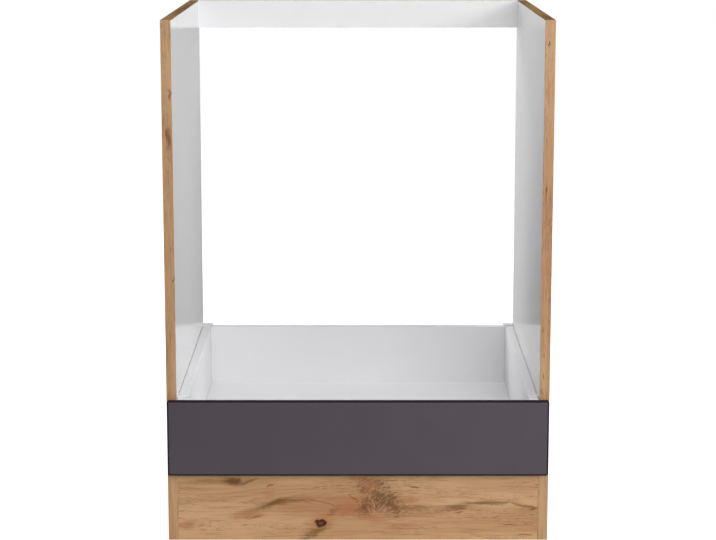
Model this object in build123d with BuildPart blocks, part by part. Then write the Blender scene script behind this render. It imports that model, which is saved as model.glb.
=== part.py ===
from build123d import *
import os

# Oven housing base cabinet: an open niche for a built-under oven, and one low pull-out drawer below it.
# Millimetres. +Z is up and the front faces -Y. The origin is on the floor, in the middle of the footprint.
# Pieces that come in left and right hands are drawn on the left (-X) side and mirrored.

# Carcass boards
cabinet_width = 600.0
cabinet_height = 820.0
carcass_depth = 570.0
board_thickness = 16.0
drawer_floor_clearance = 6.8
plinth_rise = 1.4
rail_height = 48.0

# Edge bands
oak_band_thickness = 1.0
white_band_thickness = 0.5
band_rounding = 0.6

# Knock-down joints between the boards: a bolt in the side panel, drawn in by a round cam in the board
cam_radius = 7.5
cam_depth = 12.5
cam_setback = 24.0
cam_slot_length = 9.0
cam_slot_width = 1.6
cam_slot_depth = 2.0
bolt_thread_radius = 2.5
bolt_thread_length = 10.5
bolt_collar_radius = 3.5
bolt_collar_length = 1.0
bolt_shank_radius = 3.0
bolt_neck_radius = 2.0
bolt_neck_length = 3.5
bolt_head_radius = 3.5
bolt_head_length = 3.0
bolt_bore_radius = 4.0
dowel_radius = 4.0
dowel_length = 30.0
dowel_depth_in_panel = 11.0
dowel_chamfer = 1.0
joint_end_inset = 60.0
joint_pitch = 32.0
rail_cam_drop = 16.0
rail_dowel_drop = 36.0
plinth_cam_drop = 13.0
plinth_dowel_drop = 53.0
fit_clearance = 0.05
hole_end_clearance = 0.5

# Steel plates that carry the oven, each with two tongues in round holes of the side panel
oven_seat_height = 231.2
seat_thickness = 2.0
rear_seat_thickness = 4.0
seat_width = 15.0
seat_reach = 18.5
seat_corner = 3.0
seat_front_inset = 12.0
seat_rear_inset = 0.5
seat_hole_radius = 2.5
seat_hole_spacing = 8.0
seat_tongue_length = 10.0
seat_tongue_thickness = 1.6

# Screws
screw_radius = 1.75
screw_tip_length = 3.0
screw_skin = 3.0
pan_head_radius = 3.2
pan_head_height = 1.5
head_rounding = 0.5
recess_length = 3.2
recess_width = 0.8
recess_depth = 0.8
runner_screw_radius = 2.5
runner_screw_head_radius = 4.4

# Drawer front
front_height = 119.2
front_thickness = 16.0
front_side_reveal = 1.5
front_top_drop = 2.0
front_gap = 1.5
front_corner_radius = 3.2
front_edge_radius = 2.6
pad_radius = 4.0
pad_thickness = 1.3
pad_edge_inset = 14.0
pad_rounding = 0.4

# Steel drawer sides and the boards between them
drawer_side_height = 118.0
drawer_wall_inset = 16.0
drawer_rear_space = 16.5
side_rear_setback = 1.0
steel_thickness = 1.2
steel_bend_radius = 1.4
rim_running_gap = 0.4
rim_side_gap = 0.3
rim_lip = 8.0
bottom_flange = 14.0
track_rise = 38.0
track_side_gap = 3.0
board_side_clearance = 0.2
floor_arris = 1.0
drawer_back_height = 102.8
bottom_screw_count = 4
bottom_screw_end_inset = 45.0
bottom_screw_length = 13.0

# Brackets that join the steel sides to the front and to the back board
bracket_height = 58.0
front_bracket_length = 42.0
front_bracket_side_gap = 2.5
back_bracket_length = 34.0
back_bracket_lap = 20.0
bracket_screw_spacing = 32.0

# Roller runners
runner_front_inset = 3.0
runner_rear_inset = 17.0
runner_reach = 12.8
roller_radius = 11.8
roller_width = 7.5
roller_rounding = 0.8
roller_recess_depth = 1.0
roller_recess_rim = 2.4
roller_hub_radius = 4.6
roller_gap = 0.2
roller_lift_play = 1.0
track_clearance = 0.7
front_roller_setback = 14.0
front_roller_offset = 1.2
rear_roller_setback = 18.0
rear_roller_offset = 2.3
upper_flange_setback = 3.0
pin_radius = 2.0
pin_clearance = 0.05
pin_collar_radius = 3.2
pin_head_radius = 3.4
pin_head_height = 1.0
pin_end_play = 0.3
stop_height = 4.0
stop_length = 4.0
stop_width = 6.0
stop_gap = 0.3
runner_screw_front_inset = 37.0
runner_screw_steps = 7
runner_screw_count = 3
drawer_travel = 420.0

# Carcass planes
total_depth = carcass_depth + front_gap + front_thickness
front_plane = total_depth / 2 - carcass_depth
back_plane = total_depth / 2
inner_face = cabinet_width / 2 - board_thickness
bottom_board_front = front_plane + board_thickness

# Drawer planes
front_width = cabinet_width - 2 * front_side_reveal
front_bottom = oven_seat_height - front_top_drop - front_height
drawer_front_end = front_plane - front_gap
drawer_rear_end = back_plane - drawer_rear_space
drawer_length = drawer_rear_end - drawer_front_end
wall_inner = inner_face - drawer_wall_inset
wall_outer = wall_inner + steel_thickness
rim_top = oven_seat_height - seat_thickness - rim_running_gap
drawer_underside = rim_top - drawer_side_height
drawer_floor_underside = drawer_underside + steel_thickness
drawer_floor_top = drawer_floor_underside + board_thickness
drawer_back_front = drawer_rear_end - board_thickness

# Levels of the boards below the drawer
bottom_board_top = drawer_underside - drawer_floor_clearance
bottom_board_underside = bottom_board_top - board_thickness
plinth_height = bottom_board_top + plinth_rise

# Runner levels: the drawer's track rides on the front roller, the rear roller runs inside the channel
track_underside = drawer_underside + track_rise
track_thickness = 2 * steel_thickness
runner_top = track_underside - track_clearance
channel_floor = runner_top - steel_thickness - 2 * roller_radius - roller_gap - roller_lift_play
runner_underside = channel_floor - steel_thickness
runner_front = front_plane + runner_front_inset
runner_length = carcass_depth - runner_front_inset - runner_rear_inset
front_roller_y = runner_front + front_roller_setback
front_roller_z = track_underside - roller_gap - roller_radius
rear_roller_y = drawer_rear_end - rear_roller_setback
rear_roller_z = channel_floor + roller_gap + roller_radius

UP = (Align.CENTER, Align.CENTER, Align.MIN)
DOWN = (Align.CENTER, Align.CENTER, Align.MAX)
CORNER = (Align.MIN, Align.MIN, Align.MIN)


def left_section(y):
    """A plane across the depth at y. Its x runs from the middle to the left and its y runs up."""
    return Plane(origin=(0, y, 0), x_dir=(-1, 0, 0), z_dir=(0, 1, 0))


def facing_middle(distance, y, z):
    """A place on the left side, at a distance from the middle. Its z points to the middle."""
    return Plane(origin=(-distance, y, z), x_dir=(0, 1, 0), z_dir=(1, 0, 0))


def facing_side(distance, y, z):
    """A place on the left side, at a distance from the middle. Its z points to the side panel."""
    return Plane(origin=(-distance, y, z), x_dir=(0, 1, 0), z_dir=(-1, 0, 0))


def facing_back(distance, y, z):
    """A place on the left side, at a distance from the middle. Its z points to the back."""
    return Plane(origin=(-distance, y, z), x_dir=(-1, 0, 0), z_dir=(0, 1, 0))


def facing_down(distance, y, z):
    """A place on the left side, at a distance from the middle. Its z points down."""
    return Plane(origin=(-distance, y, z), x_dir=(-1, 0, 0), z_dir=(0, 0, -1))


def mirrored(piece):
    """The right-hand twin of a left-hand piece."""
    with BuildPart() as twin:
        mirror(piece.part, about=Plane.YZ)
    return twin


# Where the boards meet the left side panel, as depth and height
board_mid = board_thickness / 2
bottom_mid = bottom_board_underside + board_mid
rail_mid = back_plane - board_mid
plinth_mid = front_plane + board_mid
joint_depths = (bottom_board_front + joint_end_inset, back_plane - joint_end_inset)
dowel_depths = (joint_depths[0] + joint_pitch, joint_depths[1] - joint_pitch)
rail_cam = (rail_mid, cabinet_height - rail_cam_drop)
rail_dowel = (rail_mid, cabinet_height - rail_dowel_drop)
plinth_cam = (plinth_mid, bottom_board_underside - plinth_cam_drop)
plinth_dowel = (plinth_mid, bottom_board_underside - plinth_dowel_drop)
bottom_dowels = [(y, bottom_mid) for y in dowel_depths]
bolt_places = [(y, bottom_mid) for y in joint_depths] + [rail_cam, plinth_cam]
dowel_places = bottom_dowels + [rail_dowel, plinth_dowel]

# Where the cams sit, on the face that each board opens to
cam_distance = inner_face - cam_setback
bottom_cam_planes = [facing_down(cam_distance, y, bottom_board_underside) for y in joint_depths]
rail_cam_planes = [facing_back(cam_distance, back_plane, rail_cam[1])]
plinth_cam_planes = [facing_back(cam_distance, bottom_board_front, plinth_cam[1])]

# Where the oven's supports go. A tongue is as wide as a chord of its hole.
seat_starts = (front_plane + seat_front_inset, back_plane - seat_rear_inset - seat_width)
seat_mid = oven_seat_height - seat_thickness / 2
seat_tongue_width = 2 * (seat_hole_radius**2 - (seat_tongue_thickness / 2) ** 2) ** 0.5

# Where the screws go
runner_screw_length = steel_thickness + board_thickness - screw_skin
runner_screw_start = front_plane + runner_screw_front_inset
runner_screw_depths = [
    runner_screw_start + i * runner_screw_steps * joint_pitch for i in range(runner_screw_count)
]
bracket_mid = (track_underside + track_thickness + rim_top - rim_lip) / 2
bracket_bottom = bracket_mid - bracket_height / 2
bracket_screw_heights = [bracket_mid + side * bracket_screw_spacing / 2 for side in (-1, 1)]
front_bracket_outer = inner_face - front_bracket_side_gap
front_screw_distance = (front_bracket_outer + wall_outer) / 2
front_screw_length = steel_thickness + front_thickness - screw_skin
back_screw_length = steel_thickness + board_thickness - screw_skin
back_screw_distance = wall_inner - back_bracket_lap / 2
bottom_screw_distance = wall_inner - bottom_flange / 2
bottom_screw_step = (drawer_length - 2 * bottom_screw_end_inset) / (bottom_screw_count - 1)
bottom_screw_depths = [
    drawer_front_end + bottom_screw_end_inset + i * bottom_screw_step for i in range(bottom_screw_count)
]


def seat_hole_depths(start):
    """Depths of the two holes for the oven support that begins at start."""
    middle = start + seat_width / 2
    return (middle - seat_hole_spacing / 2, middle + seat_hole_spacing / 2)


def cut_round_holes(places, radius, depth):
    """Cuts round holes of one size, each going in from its place."""
    with Locations(*places):
        Cylinder(radius + fit_clearance, depth + hole_end_clearance, align=DOWN, mode=Mode.SUBTRACT)


def cut_cam_seats(planes):
    """Cuts the round pocket of each cam, and the bore to the board's end that its bolt comes through."""
    with Locations(*planes):
        Cylinder(cam_radius + fit_clearance, cam_depth, align=DOWN, mode=Mode.SUBTRACT)
        with Locations(Location((0, 0, -board_mid), (0, 90, 0))):
            Cylinder(bolt_bore_radius, cam_setback, align=UP, mode=Mode.SUBTRACT)


def cut_dowel_holes(places):
    """Cuts the dowel holes in the left end of a board."""
    ends = [facing_side(inner_face, y, z) for y, z in places]
    cut_round_holes(ends, dowel_radius, dowel_length - dowel_depth_in_panel)


def cut_recess(top):
    """Cuts a cross recess for the driver into a screw head at a height."""
    with Locations((0, 0, top)):
        Box(recess_length, recess_width, recess_depth, align=DOWN, mode=Mode.SUBTRACT)
        Box(recess_width, recess_length, recess_depth, align=DOWN, mode=Mode.SUBTRACT)


def pan_screw(length, shank_radius, head_radius):
    """A screw that points down, with the underside of its head at 0."""
    with BuildPart() as body:
        with BuildSketch(Plane.XZ):
            with BuildLine():
                Polyline(
                    (0, -length),
                    (shank_radius, screw_tip_length - length),
                    (shank_radius, 0),
                    (head_radius, 0),
                    (head_radius, pan_head_height),
                    (0, pan_head_height),
                    close=True,
                )
            make_face()
        revolve(axis=Axis.Z)
        fillet(body.edges().group_by(Axis.Z)[-1], head_rounding)
        cut_recess(pan_head_height)
    return body.part


# Side panels, with the holes for the bolts, dowels, oven supports and screws in their inner faces
with BuildPart() as side_panel_left:
    with Locations((-cabinet_width / 2, front_plane + oak_band_thickness, 0)):
        Box(
            board_thickness,
            carcass_depth - oak_band_thickness,
            cabinet_height - oak_band_thickness,
            align=CORNER,
        )
    bolt_holes = [facing_middle(inner_face, y, z) for y, z in bolt_places]
    cut_round_holes(bolt_holes, bolt_thread_radius, bolt_thread_length)
    dowel_holes = [facing_middle(inner_face, y, z) for y, z in dowel_places]
    cut_round_holes(dowel_holes, dowel_radius, dowel_depth_in_panel)
    seat_depths = [y for start in seat_starts for y in seat_hole_depths(start)]
    seat_holes = [facing_middle(inner_face, y, seat_mid) for y in seat_depths]
    cut_round_holes(seat_holes, seat_hole_radius, seat_tongue_length)
    runner_holes = [facing_middle(inner_face, y, rear_roller_z) for y in runner_screw_depths]
    cut_round_holes(runner_holes, runner_screw_radius, runner_screw_length - steel_thickness)
side_panel_right = mirrored(side_panel_left)

# Oak bands on the front and top edges of the side panels
with BuildPart() as front_edge_band_left:
    with Locations((-cabinet_width / 2, front_plane, 0)):
        Box(board_thickness, oak_band_thickness, cabinet_height, align=CORNER)
    fillet(front_edge_band_left.edges().filter_by(Axis.Z).group_by(Axis.Y)[0], band_rounding)
front_edge_band_right = mirrored(front_edge_band_left)

with BuildPart() as top_edge_band_left:
    with Locations((-cabinet_width / 2, front_plane + oak_band_thickness, cabinet_height)):
        Box(
            board_thickness,
            carcass_depth - oak_band_thickness,
            oak_band_thickness,
            align=(Align.MIN, Align.MIN, Align.MAX),
        )
    fillet(top_edge_band_left.edges().filter_by(Axis.Y).group_by(Axis.Z)[-1], band_rounding)
top_edge_band_right = mirrored(top_edge_band_left)

# Boards between the side panels, each drawn as its left half
with BuildPart() as bottom_board:
    with Locations((-inner_face, bottom_board_front, bottom_board_underside)):
        Box(inner_face, back_plane - bottom_board_front, board_thickness, align=CORNER)
    cut_cam_seats(bottom_cam_planes)
    cut_dowel_holes(bottom_dowels)
    mirror(about=Plane.YZ)

with BuildPart() as plinth_board:
    with Locations((-inner_face, front_plane, 0)):
        Box(inner_face, board_thickness, plinth_height, align=CORNER)
    cut_cam_seats(plinth_cam_planes)
    cut_dowel_holes([plinth_dowel])
    mirror(about=Plane.YZ)

with BuildPart() as rear_top_rail:
    with Locations((-inner_face, back_plane - board_thickness, cabinet_height)):
        Box(
            inner_face,
            board_thickness,
            rail_height - white_band_thickness,
            align=(Align.MIN, Align.MIN, Align.MAX),
        )
    cut_cam_seats(rail_cam_planes)
    cut_dowel_holes([rail_dowel])
    mirror(about=Plane.YZ)

with BuildPart() as rail_edge_band:
    with Locations((0, rail_mid, cabinet_height - rail_height)):
        Box(2 * inner_face, board_thickness, white_band_thickness, align=UP)

# Dowels, bolts and cams
with BuildPart() as wood_dowels:
    with Locations(*[facing_middle(inner_face + dowel_depth_in_panel, y, z) for y, z in dowel_places]):
        Cylinder(dowel_radius, dowel_length, align=UP)
    chamfer(wood_dowels.edges().filter_by(GeomType.CIRCLE), dowel_chamfer)
    mirror(about=Plane.YZ)

bolt_head_start = cam_setback - bolt_head_length / 2
bolt_neck_start = bolt_head_start - bolt_neck_length
with BuildPart() as cam_bolts:
    with Locations(*[facing_middle(inner_face, y, z) for y, z in bolt_places]):
        Cylinder(bolt_thread_radius, bolt_thread_length, align=DOWN)
        Cylinder(bolt_collar_radius, bolt_collar_length, align=UP)
        Cylinder(bolt_shank_radius, bolt_neck_start, align=UP)
        Cylinder(bolt_neck_radius, bolt_head_start, align=UP)
        with Locations((0, 0, bolt_head_start)):
            Cylinder(bolt_head_radius, bolt_head_length, align=UP)
    mirror(about=Plane.YZ)

with BuildPart() as cam_locks:
    with Locations(*bottom_cam_planes, *rail_cam_planes, *plinth_cam_planes):
        Cylinder(cam_radius, cam_depth, align=DOWN)
        Box(cam_slot_length, cam_slot_width, cam_slot_depth, align=DOWN, mode=Mode.SUBTRACT)
        Box(cam_slot_width, cam_slot_length, cam_slot_depth, align=DOWN, mode=Mode.SUBTRACT)
        with Locations(Location((-bolt_head_length, 0, -board_mid), (0, 90, 0))):
            Cylinder(bolt_bore_radius, cam_radius + bolt_head_length, align=UP, mode=Mode.SUBTRACT)
    mirror(about=Plane.YZ)


# Oven supports
def oven_support(start, thickness):
    """A left-hand plate that begins at a depth, with its tongues in the side panel."""
    with BuildPart() as support:
        with Locations((seat_reach - inner_face, start, oven_seat_height)):
            Box(seat_reach, seat_width, thickness, align=(Align.MAX, Align.MIN, Align.MAX))
        fillet(support.edges().filter_by(Axis.Z).group_by(Axis.X)[-1], seat_corner)
        with Locations(*[facing_side(inner_face, y, seat_mid) for y in seat_hole_depths(start)]):
            Box(seat_tongue_width, seat_tongue_thickness, seat_tongue_length, align=UP)
    return support


oven_support_front_left = oven_support(seat_starts[0], seat_thickness)
oven_support_rear_left = oven_support(seat_starts[1], rear_seat_thickness)
oven_support_front_right = mirrored(oven_support_front_left)
oven_support_rear_right = mirrored(oven_support_rear_left)

# Runner channels on the side panels, with the front rollers
web_face = inner_face - steel_thickness
web_line = inner_face - steel_thickness / 2
runner_edge = inner_face - runner_reach
upper_flange_start = front_roller_y + roller_radius + upper_flange_setback
stop_reach = (roller_radius**2 - (roller_radius + roller_gap - stop_height) ** 2) ** 0.5
stop_rear = rear_roller_y - drawer_travel - stop_reach - stop_gap
stop_middle = wall_outer + rear_roller_offset + roller_width / 2
with BuildPart() as cabinet_runner_left:
    with BuildSketch(left_section(runner_front)):
        with BuildLine():
            FilletPolyline(
                (runner_edge, runner_top - steel_thickness / 2),
                (web_line, runner_top - steel_thickness / 2),
                (web_line, runner_underside + steel_thickness / 2),
                (runner_edge, runner_underside + steel_thickness / 2),
                radius=steel_bend_radius,
            )
        trace(line_width=steel_thickness)
    extrude(amount=runner_length)
    with Locations((-web_face, runner_front, runner_top)):
        Box(
            runner_reach,
            upper_flange_start - runner_front,
            steel_thickness + steel_bend_radius,
            align=(Align.MIN, Align.MIN, Align.MAX),
            mode=Mode.SUBTRACT,
        )
    with Locations((-stop_middle, stop_rear - stop_length / 2, channel_floor)):
        Box(stop_width, stop_length, stop_height, align=UP)
    cut_round_holes(
        [facing_middle(web_face, y, rear_roller_z) for y in runner_screw_depths],
        runner_screw_radius,
        steel_thickness,
    )
    with Locations(facing_middle(web_face, front_roller_y, front_roller_z)):
        Cylinder(pin_radius + pin_clearance, steel_thickness, align=DOWN, mode=Mode.SUBTRACT)
cabinet_runner_right = mirrored(cabinet_runner_left)

with BuildPart() as runner_screws:
    with Locations(*[facing_middle(web_face, y, rear_roller_z) for y in runner_screw_depths]):
        add(pan_screw(runner_screw_length, runner_screw_radius, runner_screw_head_radius))
    mirror(about=Plane.YZ)


def roller(plane):
    """A plastic wheel that lies on a plane, with a bore for its pin and a sunk ring in each side."""
    with BuildPart() as wheel:
        with Locations(plane):
            Cylinder(roller_radius, roller_width, align=UP)
        fillet(wheel.edges().filter_by(GeomType.CIRCLE), roller_rounding)
        with Locations(plane):
            Cylinder(pin_radius + pin_clearance, roller_width, align=UP, mode=Mode.SUBTRACT)
        for level, way in ((0, 1), (roller_width, -1)):
            with BuildSketch(plane.offset(level)):
                Circle(roller_radius - roller_recess_rim)
                Circle(roller_hub_radius, mode=Mode.SUBTRACT)
            extrude(amount=way * roller_recess_depth, mode=Mode.SUBTRACT)
    return wheel


def roller_pin(plane, web, offset):
    """A riveted pin from the far face of a steel web: a collar, then the wheel's seat, then a head."""
    seat_end = web + offset + roller_width + pin_end_play
    with BuildPart() as pin:
        with Locations(plane):
            Cylinder(pin_radius, seat_end, align=UP)
            with Locations((0, 0, web)):
                Cylinder(pin_collar_radius, offset - pin_end_play, align=UP)
            with Locations((0, 0, seat_end)):
                Cylinder(pin_head_radius, pin_head_height, align=UP)
    return pin


front_wheel_plane = facing_middle(web_face - front_roller_offset, front_roller_y, front_roller_z)
front_roller_left = roller(front_wheel_plane)
front_roller_right = mirrored(front_roller_left)
front_pin_plane = facing_middle(inner_face, front_roller_y, front_roller_z)
front_roller_pin_left = roller_pin(front_pin_plane, steel_thickness, front_roller_offset)
front_roller_pin_right = mirrored(front_roller_pin_left)

# Drawer front, with the pads that meet the side panels
with BuildPart() as drawer_front:
    with Locations((-front_width / 2, drawer_front_end - front_thickness, front_bottom)):
        Box(front_width / 2, front_thickness, front_height, align=CORNER)
    front_holes = [facing_back(front_screw_distance, drawer_front_end, z) for z in bracket_screw_heights]
    cut_round_holes(front_holes, screw_radius, front_screw_length - steel_thickness)
    mirror(about=Plane.YZ)
    long_edges = drawer_front.edges().filter_by(Axis.Y).group_by(Axis.X)
    fillet(long_edges[0] + long_edges[-1], front_corner_radius)
    front_and_back = drawer_front.faces().sort_by(Axis.Y)
    outlines = front_and_back[0].outer_wire().edges() + front_and_back[-1].outer_wire().edges()
    fillet(outlines, front_edge_radius)

pad_distance = inner_face + board_mid
pad_heights = (front_bottom + pad_edge_inset, front_bottom + front_height - pad_edge_inset)
with BuildPart() as bumper_pads:
    with Locations(*[facing_back(pad_distance, drawer_front_end, z) for z in pad_heights]):
        Cylinder(pad_radius, pad_thickness, align=UP)
    fillet(bumper_pads.edges().filter_by(GeomType.CIRCLE).group_by(Axis.Y)[-1], pad_rounding)
    mirror(about=Plane.YZ)

# Folded steel drawer sides: a flange under the floor, the wall, and a rim turned over to the panel
wall_line = wall_inner + steel_thickness / 2
rim_line = inner_face - rim_side_gap - steel_thickness / 2
track_outer = inner_face - track_side_gap
with BuildPart() as drawer_side_left:
    with BuildSketch(left_section(drawer_front_end)):
        with BuildLine():
            FilletPolyline(
                (wall_inner - bottom_flange, drawer_underside + steel_thickness / 2),
                (wall_line, drawer_underside + steel_thickness / 2),
                (wall_line, rim_top - steel_thickness / 2),
                (rim_line, rim_top - steel_thickness / 2),
                (rim_line, rim_top - rim_lip),
                radius=steel_bend_radius,
            )
        trace(line_width=steel_thickness)
        with Locations((wall_outer, track_underside)):
            Rectangle(track_outer - wall_outer, track_thickness, align=(Align.MIN, Align.MIN))
    extrude(amount=drawer_length - side_rear_setback)
    cut_round_holes(
        [facing_down(bottom_screw_distance, y, drawer_underside) for y in bottom_screw_depths],
        screw_radius,
        steel_thickness,
    )
    with Locations(facing_side(wall_outer, rear_roller_y, rear_roller_z)):
        Cylinder(pin_radius + pin_clearance, steel_thickness, align=DOWN, mode=Mode.SUBTRACT)
drawer_side_right = mirrored(drawer_side_left)

# Drawer floor and back board, each drawn as its left half
drawer_half_width = wall_inner - board_side_clearance
with BuildPart() as drawer_bottom:
    with Locations((-drawer_half_width, drawer_front_end, drawer_floor_underside)):
        Box(drawer_half_width, drawer_length, board_thickness, align=CORNER)
    cut_round_holes(
        [facing_down(bottom_screw_distance, y, drawer_floor_underside) for y in bottom_screw_depths],
        screw_radius,
        bottom_screw_length - steel_thickness,
    )
    low_edges = drawer_bottom.edges().filter_by(Axis.Y).group_by(Axis.Z)[0]
    chamfer(low_edges.group_by(Axis.X)[0], floor_arris)
    mirror(about=Plane.YZ)

with BuildPart() as drawer_back:
    with Locations((-drawer_half_width, drawer_back_front, drawer_floor_top)):
        Box(drawer_half_width, board_thickness, drawer_back_height - white_band_thickness, align=CORNER)
    back_holes = [facing_back(back_screw_distance, drawer_rear_end, z) for z in bracket_screw_heights]
    cut_round_holes(back_holes, screw_radius, back_screw_length - steel_thickness)
    mirror(about=Plane.YZ)

with BuildPart() as drawer_back_edge_band:
    with Locations((0, drawer_rear_end - board_mid, drawer_floor_top + drawer_back_height)):
        Box(2 * drawer_half_width, board_thickness, white_band_thickness, align=DOWN)

# Angle brackets between the steel sides and the front, and between the sides and the back board
bracket_line = wall_outer + steel_thickness / 2
front_leg_line = drawer_front_end + steel_thickness / 2
with BuildPart() as front_bracket_left:
    with BuildSketch(Plane.XY.offset(bracket_bottom)):
        with BuildLine():
            FilletPolyline(
                (-front_bracket_outer, front_leg_line),
                (-bracket_line, front_leg_line),
                (-bracket_line, drawer_front_end + front_bracket_length),
                radius=steel_bend_radius,
            )
        trace(line_width=steel_thickness)
    extrude(amount=bracket_height)
    front_leg_face = drawer_front_end + steel_thickness
    cut_round_holes(
        [facing_back(front_screw_distance, front_leg_face, z) for z in bracket_screw_heights],
        screw_radius,
        steel_thickness,
    )
front_bracket_right = mirrored(front_bracket_left)

back_leg_line = drawer_rear_end + steel_thickness / 2
back_leg_face = drawer_rear_end + steel_thickness
with BuildPart() as back_bracket_left:
    with BuildSketch(Plane.XY.offset(bracket_bottom)):
        with BuildLine():
            FilletPolyline(
                (-bracket_line, drawer_rear_end - back_bracket_length),
                (-bracket_line, back_leg_line),
                (-(wall_inner - back_bracket_lap), back_leg_line),
                radius=steel_bend_radius,
            )
        trace(line_width=steel_thickness)
    extrude(amount=bracket_height)
    cut_round_holes(
        [facing_back(back_screw_distance, back_leg_face, z) for z in bracket_screw_heights],
        screw_radius,
        steel_thickness,
    )
back_bracket_right = mirrored(back_bracket_left)

# Screws of the drawer
with BuildPart() as front_bracket_screws:
    front_places = [facing_back(front_screw_distance, front_leg_face, z) for z in bracket_screw_heights]
    with Locations(*front_places):
        add(pan_screw(front_screw_length, screw_radius, pan_head_radius))
    mirror(about=Plane.YZ)

with BuildPart() as back_bracket_screws:
    back_places = [facing_back(back_screw_distance, back_leg_face, z) for z in bracket_screw_heights]
    with Locations(*back_places):
        add(pan_screw(back_screw_length, screw_radius, pan_head_radius))
    mirror(about=Plane.YZ)

with BuildPart() as drawer_bottom_screws:
    floor_places = [facing_down(bottom_screw_distance, y, drawer_underside) for y in bottom_screw_depths]
    with Locations(*floor_places):
        add(pan_screw(bottom_screw_length, screw_radius, pan_head_radius))
    mirror(about=Plane.YZ)

# Rear rollers, carried on the drawer's walls
rear_wheel_plane = facing_side(wall_outer + rear_roller_offset, rear_roller_y, rear_roller_z)
rear_roller_left = roller(rear_wheel_plane)
rear_roller_right = mirrored(rear_roller_left)
rear_pin_plane = facing_side(wall_inner, rear_roller_y, rear_roller_z)
rear_roller_pin_left = roller_pin(rear_pin_plane, steel_thickness, rear_roller_offset)
rear_roller_pin_right = mirrored(rear_roller_pin_left)

# Every finished piece by its name
pieces = {
    "side_panel_left": side_panel_left,
    "side_panel_right": side_panel_right,
    "front_edge_band_left": front_edge_band_left,
    "front_edge_band_right": front_edge_band_right,
    "top_edge_band_left": top_edge_band_left,
    "top_edge_band_right": top_edge_band_right,
    "bottom_board": bottom_board,
    "plinth_board": plinth_board,
    "rear_top_rail": rear_top_rail,
    "rail_edge_band": rail_edge_band,
    "wood_dowels": wood_dowels,
    "cam_bolts": cam_bolts,
    "cam_locks": cam_locks,
    "oven_support_front_left": oven_support_front_left,
    "oven_support_front_right": oven_support_front_right,
    "oven_support_rear_left": oven_support_rear_left,
    "oven_support_rear_right": oven_support_rear_right,
    "cabinet_runner_left": cabinet_runner_left,
    "cabinet_runner_right": cabinet_runner_right,
    "runner_screws": runner_screws,
    "front_roller_left": front_roller_left,
    "front_roller_right": front_roller_right,
    "front_roller_pin_left": front_roller_pin_left,
    "front_roller_pin_right": front_roller_pin_right,
    "drawer_front": drawer_front,
    "bumper_pads": bumper_pads,
    "drawer_side_left": drawer_side_left,
    "drawer_side_right": drawer_side_right,
    "drawer_bottom": drawer_bottom,
    "drawer_back": drawer_back,
    "drawer_back_edge_band": drawer_back_edge_band,
    "front_bracket_left": front_bracket_left,
    "front_bracket_right": front_bracket_right,
    "back_bracket_left": back_bracket_left,
    "back_bracket_right": back_bracket_right,
    "front_bracket_screws": front_bracket_screws,
    "back_bracket_screws": back_bracket_screws,
    "drawer_bottom_screws": drawer_bottom_screws,
    "rear_roller_left": rear_roller_left,
    "rear_roller_right": rear_roller_right,
    "rear_roller_pin_left": rear_roller_pin_left,
    "rear_roller_pin_right": rear_roller_pin_right,
}

os.makedirs("parts", exist_ok=True)
for name, piece in pieces.items():
    piece.part.label = name
    export_step(piece.part, f"parts/{name}.step")
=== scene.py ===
"""Looks of the oven housing base unit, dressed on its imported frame.

Metres. +Z is up, the front faces -Y, and the origin is on the floor in the middle of the footprint.
"""

from __future__ import annotations

import logging
import math
from dataclasses import dataclass
from enum import Enum
from typing import Any, Optional, Union

import bmesh
import bpy
from mathutils import Matrix, Vector

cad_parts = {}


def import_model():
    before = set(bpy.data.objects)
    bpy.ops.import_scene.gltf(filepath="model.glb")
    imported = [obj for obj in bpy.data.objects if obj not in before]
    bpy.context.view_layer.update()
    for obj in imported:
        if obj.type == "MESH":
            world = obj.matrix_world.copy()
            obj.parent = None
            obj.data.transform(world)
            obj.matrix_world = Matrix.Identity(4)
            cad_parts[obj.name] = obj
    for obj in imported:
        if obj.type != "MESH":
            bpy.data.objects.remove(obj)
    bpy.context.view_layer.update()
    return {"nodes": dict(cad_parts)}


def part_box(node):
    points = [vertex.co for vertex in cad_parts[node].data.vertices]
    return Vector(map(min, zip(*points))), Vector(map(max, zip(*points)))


LOG = logging.getLogger("oven_housing")
SIDES = ("left", "right")
ENDS = ("front", "rear")

Number = Union[int, float]
Colour = tuple[float, float, float]
Place = tuple[float, float, float]


def linear(red: Number, green: Number, blue: Number) -> Colour:
    """Turns a colour picked on a screen, 0 to 255, into the linear values that a shader takes.

    Its numbers are those of the standard screen curve.

    Args:
        red: Red level on the screen.
        green: Green level on the screen.
        blue: Blue level on the screen.

    Returns:
        The three linear levels, 0 to 1.
    """
    levels = []
    for level in (red, green, blue):
        share = level / 255
        straight = share / 12.92
        curved = ((share + 0.055) / 1.055) ** 2.4
        levels.append(straight if share <= 0.04045 else curved)
    return levels[0], levels[1], levels[2]


BRIGHT: Colour = (1.0, 1.0, 1.0)
BLACK: Colour = (0.0, 0.0, 0.0)
COAT_WHITE: Colour = linear(240, 240, 241)


# Shader expressions


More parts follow.
